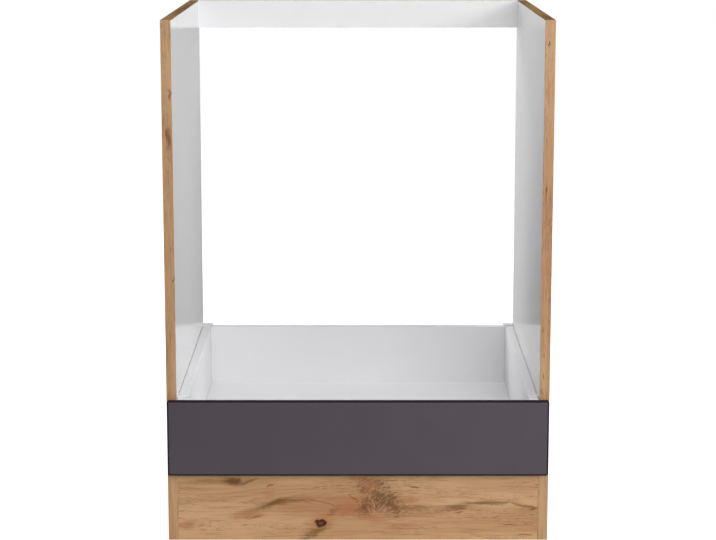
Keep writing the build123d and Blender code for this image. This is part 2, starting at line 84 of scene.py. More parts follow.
class Term:
    """One socket of a shader that takes part in Python expressions."""

    def __init__(self, graph: Graph, socket: bpy.types.NodeSocket) -> None:
        """Keeps the graph and the socket that gives the value."""
        self.graph = graph
        self.socket = socket

    def __add__(self, other: Operand) -> Term:
        """Adds a value."""
        return self.graph.math("ADD", self, other)

    def __radd__(self, other: Operand) -> Term:
        """Adds this to a value."""
        return self.graph.math("ADD", other, self)

    def __sub__(self, other: Operand) -> Term:
        """Takes a value away."""
        return self.graph.math("SUBTRACT", self, other)

    def __rsub__(self, other: Operand) -> Term:
        """Takes this away from a value."""
        return self.graph.math("SUBTRACT", other, self)

    def __mul__(self, other: Operand) -> Term:
        """Multiplies by a value."""
        return self.graph.math("MULTIPLY", self, other)

    def __rmul__(self, other: Operand) -> Term:
        """Multiplies a value by this."""
        return self.graph.math("MULTIPLY", other, self)

    def __neg__(self) -> Term:
        """Turns the sign round."""
        return self.graph.math("MULTIPLY", self, -1.0)

    def __abs__(self) -> Term:
        """Drops the sign."""
        return self.graph.math("ABSOLUTE", self)

    def above(self, level: Operand) -> Term:
        """Gives 1 where this is over a level, and 0 elsewhere."""
        return self.graph.math("GREATER_THAN", self, level)

    def below(self, level: Operand) -> Term:
        """Gives 1 where this is under a level, and 0 elsewhere."""
        return self.graph.math("LESS_THAN", self, level)

    def highest(self, other: Operand) -> Term:
        """Gives the larger of two values."""
        return self.graph.math("MAXIMUM", self, other)

    def step(self, low: Number, high: Number, to_low: Number = 0.0, to_high: Number = 1.0) -> Term:
        """Runs smoothly from one value to another while this goes from low to high.

        Args:
            low: Where the run begins.
            high: Where it ends.
            to_low: The value below the run.
            to_high: The value above the run.

        Returns:
            The smoothed value.
        """
        node = self.graph.add(
            "ShaderNodeMapRange",
            {"interpolation_type": "SMOOTHSTEP", "clamp": True},
            {"Value": self, "From Min": low, "From Max": high, "To Min": to_low, "To Max": to_high},
        )
        return self.graph.out(node, "Result")


Operand = Union[Term, Number]


class Graph:
    """A material's or the world's node tree, written as expressions."""

    def __init__(self, tree: bpy.types.NodeTree) -> None:
        """Empties the tree and keeps it."""
        self.tree = tree
        self.tree.nodes.clear()

    def add(
        self,
        kind: str,
        settings: Optional[dict[str, Any]] = None,
        inputs: Optional[dict[Any, Any]] = None,
    ) -> bpy.types.Node:
        """Adds one node.

        Args:
            kind: The node's type.
            settings: Its options, such as a Math node's operation, set before its sockets.
            inputs: Values or links of its sockets, by name or number.

        Returns:
            The node.
        """
        node = self.tree.nodes.new(kind)
        for name, value in (settings or {}).items():
            setattr(node, name, value)
        for name, value in (inputs or {}).items():
            socket = node.inputs[name]
            if isinstance(value, Term):
                self.tree.links.new(value.socket, socket)
            elif socket.type == "RGBA" and len(value) == 3:
                socket.default_value = (*value, 1.0)
            else:
                socket.default_value = value
        return node

    def out(self, node: bpy.types.Node, name: Union[str, int] = 0) -> Term:
        """Gives one of a node's outputs as a term."""
        return Term(self, node.outputs[name])

    def math(self, operation: str, *values: Operand) -> Term:
        """Adds one Math node.

        Args:
            operation: What it does.
            values: Its inputs in order.

        Returns:
            Its result.
        """
        node = self.add("ShaderNodeMath", {"operation": operation}, dict(enumerate(values)))
        return self.out(node)

    def mix(self, factor: Operand, first: Union[Term, Colour], second: Union[Term, Colour]) -> Term:
        """Mixes two colours.

        Args:
            factor: 0 for the first colour, 1 for the second.
            first: A colour.
            second: Another colour.

        Returns:
            The mixed colour.
        """
        node = self.add("ShaderNodeMix", {"data_type": "RGBA"}, {0: factor, 6: first, 7: second})
        return self.out(node, 2)

    def place(self) -> Term:
        """Gives the place on the piece, in metres."""
        return self.out(self.add("ShaderNodeTexCoord"), "Object")

    def split(self, vector: Term) -> tuple[Term, Term, Term]:
        """Gives the three parts of a vector."""
        node = self.add("ShaderNodeSeparateXYZ", None, {0: vector})
        return self.out(node, 0), self.out(node, 1), self.out(node, 2)

    def join(self, x: Operand, y: Operand, z: Operand) -> Term:
        """Makes a vector of three parts."""
        return self.out(self.add("ShaderNodeCombineXYZ", None, {0: x, 1: y, 2: z}))

    def noise(
        self,
        vector: Term,
        scale: Number,
        detail: Number = 2.0,
        roughness: Number = 0.5,
        distortion: Number = 0.0,
    ) -> Term:
        """Adds cloudy noise.

        Args:
            vector: Where it is read.
            scale: How many clouds a metre holds.
            detail: How many finer layers it has.
            roughness: How strong the finer layers are.
            distortion: How much it swirls.

        Returns:
            The noise, 0 to 1 and mostly near 0.5.
        """
        inputs = {
            "Vector": vector,
            "Scale": scale,
            "Detail": detail,
            "Roughness": roughness,
            "Distortion": distortion,
        }
        return self.out(self.add("ShaderNodeTexNoise", {"noise_dimensions": "3D"}, inputs), 0)

    def patches(self, vector: Term, scale: Number) -> Term:
        """Adds soft patches, from 0 to 1."""
        return self.noise(vector, scale, detail=3.0).step(0.35, 0.65)

    def cells(self, vector: Term, scale: Number) -> Term:
        """Adds a pattern of cells.

        Args:
            vector: Where it is read.
            scale: How many cells a metre holds.

        Returns:
            The distance from the middle of the nearest cell.
        """
        settings = {"voronoi_dimensions": "3D", "feature": "F1"}
        node = self.add("ShaderNodeTexVoronoi", settings, {"Vector": vector, "Scale": scale})
        return self.out(node, "Distance")

    def bump(self, height: Term, depth: Number, strength: Number = 1.0) -> Term:
        """Turns a height into a normal.

        Args:
            height: The height, 0 to 1.
            depth: How many metres a height of 1 stands for.
            strength: How much of it shows.

        Returns:
            The normal.
        """
        inputs = {"Height": height, "Distance": depth, "Strength": strength}
        return self.out(self.add("ShaderNodeBump", None, inputs))


class Dressing:
    """A material whose colour, roughness and relief are expressions."""

    def __init__(self, name: str) -> None:
        """Makes an empty material.

        Args:
            name: Its name.
        """
        self.material = bpy.data.materials.new(name)
        self.material.use_nodes = True
        self.graph = Graph(self.material.node_tree)

    def finish(self, sockets: dict[str, Any]) -> bpy.types.Material:
        """Ends a material of one finish.

        Args:
            sockets: Values or terms of its sockets.

        Returns:
            The material.
        """
        return self.end(self._coat(sockets))

    def finish_two(
        self, mask: Term, under: dict[str, Any], over: dict[str, Any]
    ) -> bpy.types.Material:
        """Ends a material of two finishes.

        Args:
            mask: 0 where the first shows and 1 where the second does.
            under: The first finish's sockets.
            over: The second finish's sockets.

        Returns:
            The material.
        """
        inputs = {0: mask, 1: self._coat(under), 2: self._coat(over)}
        return self.end(self.graph.out(self.graph.add("ShaderNodeMixShader", None, inputs)))

    def end(self, surface: Term) -> bpy.types.Material:
        """Links a surface to the material's output, and gives the material."""
        self.graph.add("ShaderNodeOutputMaterial", None, {"Surface": surface})
        return self.material

    def _coat(self, sockets: dict[str, Any]) -> Term:
        """Adds the surface shader of one finish."""
        return self.graph.out(self.graph.add("ShaderNodeBsdfPrincipled", None, sockets))


# Finishes


class Grain(Enum):
    """Which way the grain of a wood decor runs."""

    SIDEWAYS = "sideways"
    UPRIGHT = "upright"
    FRONT_TO_BACK = "front to back"


class Tone(Enum):
    """What a mark in the oak does to its colour."""

    KNOT = "knot"
    CRACK = "crack"
    DARK = "dark"
    OLIVE = "olive"
    RED = "red"
    SWIRL = "swirl"


@dataclass(frozen=True)
class Mark:
    """A knot, streak or stain of the oak, by its place and size in metres.

    Attributes:
        x: Place across the unit.
        z: Height above the floor.
        length: Half its length.
        width: Half its width.
        strength: How dark it is, 0 to 1.
        tone: What it does to the colour.
        tilt: How far it leans from the grain, in degrees.
    """

    x: float
    z: float
    length: float
    width: float
    strength: float
    tone: Tone = Tone.DARK
    tilt: float = 0.0


@dataclass(frozen=True)
class OakTones:
    """The colours of the oak decor: the wood, its patches, its stains, its pores and its knots."""

    light: Colour = linear(210, 170, 127)
    middle: Colour = linear(196, 152, 109)
    dark: Colour = linear(152, 109, 72)
    red: Colour = linear(182, 122, 82)
    olive: Colour = linear(132, 103, 58)
    stain: Colour = linear(122, 82, 48)
    pore: Colour = linear(106, 70, 40)
    knot: Colour = linear(60, 25, 10)


@dataclass(frozen=True)
class Layer:
    """One layer of noise in the oak, drawn out along the grain.

    Attributes:
        along: How many clouds a metre holds along the grain.
        across: How many it holds across the grain.
        detail: How many finer layers it has.
        roughness: How strong the finer layers are.
        shift: Moves it along the grain, so that no two layers match.
    """

    along: float
    across: float
    detail: float = 2.0
    roughness: float = 0.5
    shift: float = 0.0

    def noise(self, g: Graph, along: Term, across: Term, through: Term) -> Term:
        """Gives the noise, 0 to 1, by the place along the grain and across it both ways."""
        place = g.join(along * self.along + self.shift, across * self.across, through * self.across)
        return g.noise(place, 1.0, self.detail, self.roughness)


@dataclass(frozen=True)
class Glaze:
    """How a tone is laid over the oak, by the level of a noise or of a mark's cover.

    Attributes:
        low: The level at which it begins.
        high: The level at which it is full.
        strength: Its share of the colour there.
    """

    low: float
    high: float
    strength: float = 1.0

    def over(self, level: Term) -> Term:
        """Gives the tone's share of the colour."""
        return level.step(self.low, self.high, 0.0, self.strength)


@dataclass(frozen=True)
class OakLayers:
    """The layers of noise in the oak, and how the tones are laid over them.

    Attributes:
        drift: Bends the grain slowly.
        drift_reach: How far it bends it, in metres.
        knot_pull: How strongly a knot draws the grain round itself.
        cloud: Lighter and darker wood.
        warmth: Redder wood.
        growth: Shifts the growth rings.
        growth_turns: How far it shifts them.
        ring_pitch: How close the rings lie.
        streaks: Long streaks.
        fibres: Short strokes, of which the strongest are pores.
        groups: Where pores lie close together.
        light: The light tone, by the cloud.
        red: The red tone, by the warmth.
        rings: The dark tone of the rings, by the cloud.
        dark_streaks: The dark tone, by the streaks.
        light_streaks: The light tone, by the streaks.
        pore_fibres: Which fibres are pores.
        pore_groups: Which groups hold pores.
        pore_share: The pores' share of the colour.
        ragged: How the streaks break up the edge of a mark.
        ragged_least: How much of a mark shows everywhere.
    """

    drift: Layer = Layer(3.0, 12.0)
    drift_reach: float = 0.016
    knot_pull: float = 0.75
    cloud: Layer = Layer(2.6, 22.0, 3.0, 0.55)
    warmth: Layer = Layer(4.5, 34.0, shift=7.0)
    growth: Layer = Layer(1.7, 17.0, 1.0, shift=3.0)
    growth_turns: float = 150.0
    ring_pitch: float = 500.0
    streaks: Layer = Layer(15.0, 340.0, 4.0, 0.65)
    fibres: Layer = Layer(90.0, 900.0, 2.0, 0.6)
    groups: Layer = Layer(7.0, 60.0, 1.0, shift=11.0)
    light: Glaze = Glaze(0.34, 0.64)
    red: Glaze = Glaze(0.54, 0.72, 0.45)
    rings: Glaze = Glaze(0.62, 0.40, 0.20)
    dark_streaks: Glaze = Glaze(0.50, 0.72, 0.55)
    light_streaks: Glaze = Glaze(0.48, 0.28, 0.30)
    pore_fibres: Glaze = Glaze(0.53, 0.66)
    pore_groups: Glaze = Glaze(0.36, 0.60)
    pore_share: float = 0.48
    ragged: Glaze = Glaze(0.30, 0.66, 0.55)
    ragged_least: float = 0.55


@dataclass(frozen=True)
class MarkStyle:
    """How the oak's marks are drawn.

    Attributes:
        wander: How many times a metre the edge of a mark wanders.
        wander_reach: How far it wanders across and up, in metres.
        wander_shift: Where the wandering upwards is read, so that it isn't the same as across.
        stain: A dark, olive or red stain.
        crack: A crack.
        halo: The red ring round a knot.
        knot: The knot.
        heart: The cover at which the knot's paler heart begins.
        heart_share: The knot's share of the colour in its heart.
        swirl: A swirl.
        swirl_stain: The stain's share of the colour in a swirl.
        stroke: Length and width of a swirl's strokes, in metres.
        stroke_lean: How far they lean from the swirl, in degrees.
        stroke_contrast: How clearly they stand out.
        dark_stroke: A dark stroke.
        light_stroke: A light stroke.
    """

    wander: float = 75.0
    wander_reach: tuple[float, float] = (0.016, 0.010)
    wander_shift: tuple[float, float] = (3.1, 1.7)
    stain: Glaze = Glaze(0.10, 0.85)
    crack: Glaze = Glaze(0.10, 0.70)
    halo: Glaze = Glaze(0.01, 0.40, 0.85)
    knot: Glaze = Glaze(0.34, 0.62)
    heart: float = 0.80
    heart_share: float = 0.55
    swirl: Glaze = Glaze(0.04, 0.55)
    swirl_stain: float = 0.55
    stroke: tuple[float, float] = (0.0105, 0.0030)
    stroke_lean: float = 62.0
    stroke_contrast: float = 4.0
    dark_stroke: Glaze = Glaze(0.0, 0.7)
    light_stroke: Glaze = Glaze(0.1, -0.9, 0.7)


@dataclass(frozen=True)
class Oak:
    """Oak decor with knots: a printed paper with a fine relief of pores.

    Attributes:
        name: The material's name.
        grain: Which way it runs.
        marks: Its knots and stains.
        tones: Its colours.
        shift: Moves the figure, so that no two boards look the same.
        roughness: How matt it is.
        specular: How much it reflects.
        pore_roughness: How much more matt the pores are.
        pore_depth: How deep the pores are, in metres.
        pore_strength: How much of that depth shows.
        layers: Its layers of noise.
        style: How its marks are drawn.
    """

    name: str
    grain: Grain
    marks: tuple[Mark, ...] = ()
    tones: OakTones = OakTones()
    shift: Place = (0.0, 0.0, 0.0)
    roughness: float = 0.5
    specular: float = 0.2
    pore_roughness: float = 0.25
    pore_depth: float = 0.00008
    pore_strength: float = 0.6
    layers: OakLayers = OakLayers()
    style: MarkStyle = MarkStyle()

    def _run(self, g: Graph, place: Term) -> tuple[Term, Term, Term]:
        """Turns a place to the grain.

        Args:
            g: The graph of the material.
            place: The place on the piece.

        Returns:
            The place along the grain and twice across it, with the board's own shift.
        """
        x, y, z = g.split(place)
        runs = {
            Grain.SIDEWAYS: (x, z, y),
            Grain.UPRIGHT: (z, x, y),
            Grain.FRONT_TO_BACK: (y, x, z),
        }
        along, across, through = runs[self.grain]
        return along + self.shift[0], across + self.shift[1], through + self.shift[2]

    def _wander(self, g: Graph, place: Term) -> Term:
        """Shifts the place by a few millimetres, so that no mark is a plain oval.

        Args:
            g: The graph of the material.
            place: The place on the piece.

        Returns:
            The shifted place.
        """
        style = self.style
        x, y, z = g.split(place)
        other = g.join(x + style.wander_shift[0], y, z + style.wander_shift[1])
        sideways = g.noise(place, style.wander, detail=3.0, roughness=0.6) - 0.5
        upwards = g.noise(other, style.wander, detail=3.0, roughness=0.6) - 0.5
        reach_across, reach_up = style.wander_reach
        return g.join(x + sideways * reach_across, y, z + upwards * reach_up)

    @staticmethod
    def _local(g: Graph, place: Term, mark: Mark, lean: float, size: Place) -> Term:
        """Measures a place from the middle of a mark.

        Args:
            g: The graph of the material.
            place: The place on the piece.
            mark: The mark.
            lean: How far it is turned, in degrees.
            size: What counts as 1 in each direction, in metres.

        Returns:
            The place from the middle of the mark, along its own directions.
        """
        inputs = {
            "Vector": place,
            "Location": (mark.x, 0.0, mark.z),
            "Rotation": (0.0, -math.radians(lean), 0.0),
            "Scale": size,
        }
        return g.out(g.add("ShaderNodeMapping", {"vector_type": "TEXTURE"}, inputs))

    def _cover(self, g: Graph, place: Term, mark: Mark) -> Term:
        """Finds how far a mark covers the oak.

        Args:
            g: The graph of the material.
            place: The place on the piece.
            mark: The mark.

        Returns:
            1 in the middle of the mark, falling softly to 0 outside it.
        """
        upright = self.grain is Grain.UPRIGHT
        half = (mark.width, 1.0, mark.length) if upright else (mark.length, 1.0, mark.width)
        local = self._local(g, place, mark, mark.tilt, half)
        length = g.add("ShaderNodeVectorMath", {"operation": "LENGTH"}, {0: local})
        reach = g.out(length, "Value")
        return g.math("EXPONENT", -(reach * reach))

    def _strokes(self, g: Graph, mark: Mark) -> Term:
        """Draws the slanted strokes of a swirl.

        Args:
            g: The graph of the material.
            mark: The swirl.

        Returns:
            More than 0 on a dark stroke, and less on a light one.
        """
        style = self.style
        size = (style.stroke[0], 1.0, style.stroke[1])
        local = self._local(g, g.place(), mark, mark.tilt + style.stroke_lean, size)
        strokes = g.noise(local, 1.0, roughness=0.6, distortion=0.6)
        return (strokes - 0.5) * style.stroke_contrast

    def _stain(self, g: Graph, colour: Term, mark: Mark, cover: Term, broken: Term) -> Term:
        """Lays one mark over the oak.

        Args:
            g: The graph of the material.
            colour: The oak so far.
            mark: The mark.
            cover: 1 in its middle and 0 outside it.
            broken: How the streaks of the grain break its edge up.

        Returns:
            The oak with the mark.
        """
        tones, style = self.tones, self.style
        if mark.tone is Tone.KNOT:
            halo = style.halo.over(cover * broken)
            colour = g.mix(halo * mark.strength, colour, tones.red)
            heart = cover.step(1.0, style.heart, style.heart_share, 1.0)
            return g.mix(style.knot.over(cover) * heart * mark.strength, colour, tones.knot)
        if mark.tone is Tone.CRACK:
            return g.mix(style.crack.over(cover) * mark.strength, colour, tones.pore)
        if mark.tone is Tone.SWIRL:
            strokes = self._strokes(g, mark)
            ground = style.swirl.over(cover * broken) * mark.strength
            colour = g.mix(ground * style.swirl_stain, colour, tones.stain)
            colour = g.mix(ground * style.dark_stroke.over(strokes), colour, tones.pore)
            return g.mix(ground * style.light_stroke.over(strokes), colour, tones.light)
        tints = {Tone.RED: tones.red, Tone.OLIVE: tones.olive, Tone.DARK: tones.stain}
        share = style.stain.over(cover * broken) * mark.strength
        return g.mix(share, colour, tints[mark.tone])

    def figure(self, g: Graph) -> tuple[Term, Term]:
        """Paints the oak.

        Args:
            g: The graph of the material.

        Returns:
            The colour, and the depth of the pores from 0 to 1.
        """
        layers, tones = self.layers, self.tones
        place = g.place()
        along, across, through = self._run(g, place)
        loose = self._wander(g, place)
        covers = [(mark, self._cover(g, loose, mark)) for mark in self.marks]

        drift = layers.drift.noise(g, along, across, through)
        bent = across + (drift - 0.5) * layers.drift_reach
        for mark, cover in covers:
            if mark.tone is Tone.KNOT:
                middle = mark.x if self.grain is Grain.UPRIGHT else mark.z
                bent = bent - cover * (across - (middle + self.shift[1])) * layers.knot_pull

        run = (along, bent, through)
        cloud = layers.cloud.noise(g, *run)
        warmth = layers.warmth.noise(g, *run)
        growth = layers.growth.noise(g, *run)
        turns = growth * layers.growth_turns + bent * layers.ring_pitch
        rings = g.math("SINE", turns) * 0.5 + 0.5
        streaks = layers.streaks.noise(g, *run)
        fibres = layers.fibres.noise(g, *run)
        groups = layers.groups.noise(g, *run)
        pores = layers.pore_fibres.over(fibres) * layers.pore_groups.over(groups)

        colour = g.mix(layers.light.over(cloud), tones.middle, tones.light)
        colour = g.mix(layers.red.over(warmth), colour, tones.red)
        colour = g.mix(rings * layers.rings.over(cloud), colour, tones.dark)
        colour = g.mix(layers.dark_streaks.over(streaks), colour, tones.dark)
        colour = g.mix(layers.light_streaks.over(streaks), colour, tones.light)
        colour = g.mix(pores * layers.pore_share, colour, tones.pore)

        broken = layers.ragged.over(streaks) + layers.ragged_least
        for mark, cover in covers:
            colour = self._stain(g, colour, mark, cover, broken)
        return colour, pores

    def material(self) -> bpy.types.Material:
        """Makes the material of a piece that is oak all over.

        Returns:
            The material.
        """
        dressing = Dressing(self.name)
        g = dressing.graph
        colour, pores = self.figure(g)
        sockets = {
            "Base Color": colour,
            "Roughness": self.roughness + pores * self.pore_roughness,
            "Specular IOR Level": self.specular,
            "Normal": g.bump(1.0 - pores, self.pore_depth, self.pore_strength),
        }
        return dressing.finish(sockets)


@dataclass(frozen=True)
class Chipboard:
    """Raw chipboard, where a board is cut or drilled.

    Attributes:
        light: Colour of the chips.
        dark: Colour of the gaps between them.
        chips: How many chips a metre holds.
        dust: How many grains of dust a metre holds.
        roughness: How matt it is.
        relief: How much deeper its relief is than that of the white coat.
    """

    light: Colour = linear(206, 172, 126)
    dark: Colour = linear(140, 104, 66)
    chips: float = 520.0
    dust: float = 1500.0
    roughness: float = 0.85
    relief: float = 20.0

    def figure(self, g: Graph) -> tuple[Term, Term]:
        """Paints the chips.

        Args:
            g: The graph of the material.

        Returns:
            The colour and the height, 0 to 1.
        """
        place = g.place()
        chips = g.cells(place, self.chips)
        dust = g.noise(place, self.dust, detail=3.0, roughness=0.7)
        height = chips * 0.6 + dust * 0.5
        colour = g.mix(height.step(0.25, 0.75), self.dark, self.light)
        return colour, height


@dataclass(frozen=True)
class White:
    """White melamine with a fine pearl surface.

    Attributes:
        colour: Its colour.
        roughness: How matt it is.
        pearl: How deep the pearl is, in metres.
        fine: How many fine dents a metre holds.
        coarse: How many coarse dents a metre holds.
    """

    colour: Colour = COAT_WHITE
    roughness: float = 0.15
    pearl: float = 0.000006
    fine: float = 900.0
    coarse: float = 260.0

    def relief(self, g: Graph) -> Term:
        """Makes the pearl surface.

        Args:
            g: The graph of the material.

        Returns:
            Its height, 0 to 1.
        """
        place = g.place()
        fine = g.noise(place, self.fine, detail=1.0)
        return fine * 0.7 + g.noise(place, self.coarse, detail=1.0) * 0.3


class Face(Enum):
    """Which pair of a board's faces carries the decor, by the axis that it looks along."""

    FRONT_AND_BACK = 1
    TOP_AND_UNDERSIDE = 2


@dataclass(frozen=True)
class CoatedBoard:
    """A chipboard with white faces and raw edges.

    Attributes:
        name: The material's name.
        low: The board's face with the smaller place, in metres.
        high: The board's face with the larger place.
        faces: Which pair of faces is coated.
        paper: How thick the decor looks at a cut edge.
        white: The finish of the coat.
        core: The finish of the cut edges.
    """

    name: str
    low: float
    high: float
    faces: Face
    paper: float = 0.00035
    white: White = White()
    core: Chipboard = Chipboard()

    def material(self) -> bpy.types.Material:
        """Makes the material.

        Returns:
            The material.
        """
        dressing = Dressing(self.name)
        g = dressing.graph
        height = g.split(g.place())[self.faces.value]
        coat = height.below(self.low + self.paper).highest(height.above(self.high - self.paper))
        core_colour, core_height = self.core.figure(g)
        relief = core_height * (1.0 - coat) * self.core.relief + self.white.relief(g) * coat
        duller = self.core.roughness - self.white.roughness
        sockets = {
            "Base Color": g.mix(coat, core_colour, self.white.colour),
            "Roughness": self.core.roughness - coat * duller,
            "Normal": g.bump(relief, self.white.pearl),
        }
        return dressing.finish(sockets)


@dataclass(frozen=True)
class SidePanel:
    """A side panel: oak outside, white inside, raw where it is cut.

    Attributes:
        name: The material's name.
        inner: Distance of the inner face from the middle of the unit.
        outer: Distance of the outer face.
        oak: The outer decor.
        paper: How thick the decor looks at a cut edge.
        pore_relief: How much deeper the oak's pores are than the white's pearl.
        white: The inner finish.
        core: The finish of the cut edges.
    """

    name: str
    inner: float
    outer: float
    oak: Oak
    paper: float = 0.00035
    pore_relief: float = 5.0
    white: White = White()
    core: Chipboard = Chipboard()

    def material(self) -> bpy.types.Material:
        """Makes the material.

        Returns:
            The material.
        """
        dressing = Dressing(self.name)
        g = dressing.graph
        from_middle = abs(g.split(g.place())[0])
        inside = from_middle.below(self.inner + self.paper)
        outside = from_middle.above(self.outer - self.paper)
        oak_colour, pores = self.oak.figure(g)
        core_colour, core_height = self.core.figure(g)
        relief = self.white.relief(g) * inside + (1.0 - pores) * outside * self.pore_relief
        raw = 1.0 - inside - outside
        colour = g.mix(outside, g.mix(inside, core_colour, self.white.colour), oak_colour)
        oak_roughness = self.oak.roughness + pores * self.oak.pore_roughness
        coated = inside * self.white.roughness + outside * oak_roughness
        sockets = {
            "Base Color": colour,
            "Roughness": raw * self.core.roughness + coated,
            "Normal": g.bump(core_height * raw * self.core.relief + relief, self.white.pearl),
        }
        return dressing.finish(sockets)


@dataclass(frozen=True)
class FrontBoard:
    """The drawer front: a matt anthracite decor with darker bands; the milled, rounded edges and a
    strip beside and below the outer face carry painted shade in the band's colour, while the top
    edge is left lit.

    Attributes:
        name: The material's name.
        low: The board's lower corner, in metres.
        high: Its upper corner.
        decor: Colour of the faces.
        band: Colour of the bands, used also as painted shade on the rounded edges and along the
            sides and bottom of the outer face.
        milled: How far the milled radius of the bands reaches behind a face; the rounded edges
            beyond it take the band's colour as painted shade.
        shade_rim: How wide a strip of painted shade, in the band's colour, runs beside and below
            the outer face; the top edge has none.
        roughness: How matt the faces are.
        spread: How much that varies.
        specular: How much the faces reflect.
        mottle: How much their tone varies.
        patches: How many patches of tone a metre holds.
        grain: How many grains of their relief a metre holds.
        relief: Depth of their relief, in metres.
        band_roughness: How matt the bands are.
    """

    name: str
    low: Vector
    high: Vector
    decor: Colour = linear(66, 57, 66)
    band: Colour = linear(54, 46, 53)
    milled: float = 0.0003
    shade_rim: float = 0.0032
    roughness: float = 0.50
    spread: float = 0.1
    specular: float = 0.45
    mottle: float = 0.05
    patches: float = 18.0
    grain: float = 620.0
    relief: float = 0.000012
    band_roughness: float = 0.9

    def material(self) -> bpy.types.Material:
        """Makes the material.

        Returns:
            The material.
        """
        dressing = Dressing(self.name)
        g = dressing.graph
        place = g.place()
        x, y, z = g.split(place)
        # Painted shade: the rounded edges, and a strip at the sides and bottom of the outer face,
        # take the dark band colour; the top edge stays lit.
        flat = y.below(self.low.y + self.milled).highest(y.above(self.high.y - self.milled))
        inside = flat * abs(x).below(self.high.x - self.shade_rim) * z.above(self.low.z + self.shade_rim)
        shade = g.patches(place, self.patches) * self.mottle
        fine = g.noise(place, self.grain, roughness=0.6)
        band = {
            "Base Color": self.band,
            "Roughness": self.band_roughness,
            "Specular IOR Level": 0.0,
        }
        decor = {
            "Base Color": g.mix(shade, self.decor, BLACK),
            "Roughness": self.roughness + fine * self.spread,
            "Specular IOR Level": self.specular,
            "Normal": g.bump(fine, self.relief),
        }
        return dressing.finish_two(inside, band, decor)


@dataclass(frozen=True)
class Satin:
    """A plain coat or moulding: one colour with a fine relief.

    Attributes:
        name: The material's name.
        colour: Its colour.
        roughness: How matt it is.
        relief: Depth of its relief, in metres.
        grain: How many grains of the relief a metre holds.
        spread: How much the roughness varies.
        mottle: How much its tone varies.
        patches: How many patches of tone a metre holds.
        through: How much light passes through it.
    """

    name: str
    colour: Colour
    roughness: float
    relief: float = 0.00001
    grain: float = 700.0
    spread: float = 0.12
    mottle: float = 0.04
    patches: float = 24.0
    through: float = 0.0

    def material(self) -> bpy.types.Material:
        """Makes the material.

        Returns:
            The material.
        """
        dressing = Dressing(self.name)
        g = dressing.graph
        place = g.place()
        fine = g.noise(place, self.grain, roughness=0.6)
        deep = tuple(level * (1.0 - 2.0 * self.mottle) for level in self.colour)
        sockets = {
            "Base Color": g.mix(g.patches(place, self.patches), deep, self.colour),
            "Roughness": (self.roughness - self.spread / 2) + fine * self.spread,
            "Normal": g.bump(fine, self.relief),
            "Transmission Weight": self.through,
        }
        return dressing.finish(sockets)


@dataclass(frozen=True)
class Zinc:
    """Zinc-plated steel: bright, bluish and faintly spangled.

    Attributes:
        name: The material's name.
        colour: Its colour.
        roughness: How matt it is.
        spangle: How many spangles a metre holds.
        spread: How much the roughness varies from spangle to spangle.
        dull: How bright the dullest spangles are, next to the others.
        grain: How many grains of its relief a metre holds.
        relief: Depth of its relief, in metres.
    """

    name: str
    colour: Colour = linear(196, 199, 205)
    roughness: float = 0.34
    spangle: float = 260.0
    spread: float = 0.16
    dull: float = 0.8
    grain: float = 2400.0
    relief: float = 0.00001

    def material(self) -> bpy.types.Material:
        """Makes the material.

        Returns:
            The material.
        """
        dressing = Dressing(self.name)
        g = dressing.graph
        place = g.place()
        spangles = g.cells(place, self.spangle)
        dull = tuple(level * self.dull for level in self.colour)
        sockets = {
            "Base Color": g.mix(spangles.step(0.1, 0.7), dull, self.colour),
            "Roughness": self.roughness + spangles * self.spread,
            "Metallic": 1.0,
            "Normal": g.bump(g.noise(place, self.grain), self.relief),
        }
        return dressing.finish(sockets)


# The object


@dataclass
class Assembly:
    """A group of pieces that are dressed together.

    Attributes:
        nodes: The frame's nodes, by name.
    """

    nodes: dict[str, bpy.types.Object]

    def dress(self, material: bpy.types.Material, *names: str) -> None:
        """Gives nodes a material.

        Args:
            material: The material.
            names: The nodes' names.
        """
        for name in names:
            mesh = self.nodes[name].data
            mesh.materials.clear()
            mesh.materials.append(material)
            LOG.info("%s wears %s", name, material.name)


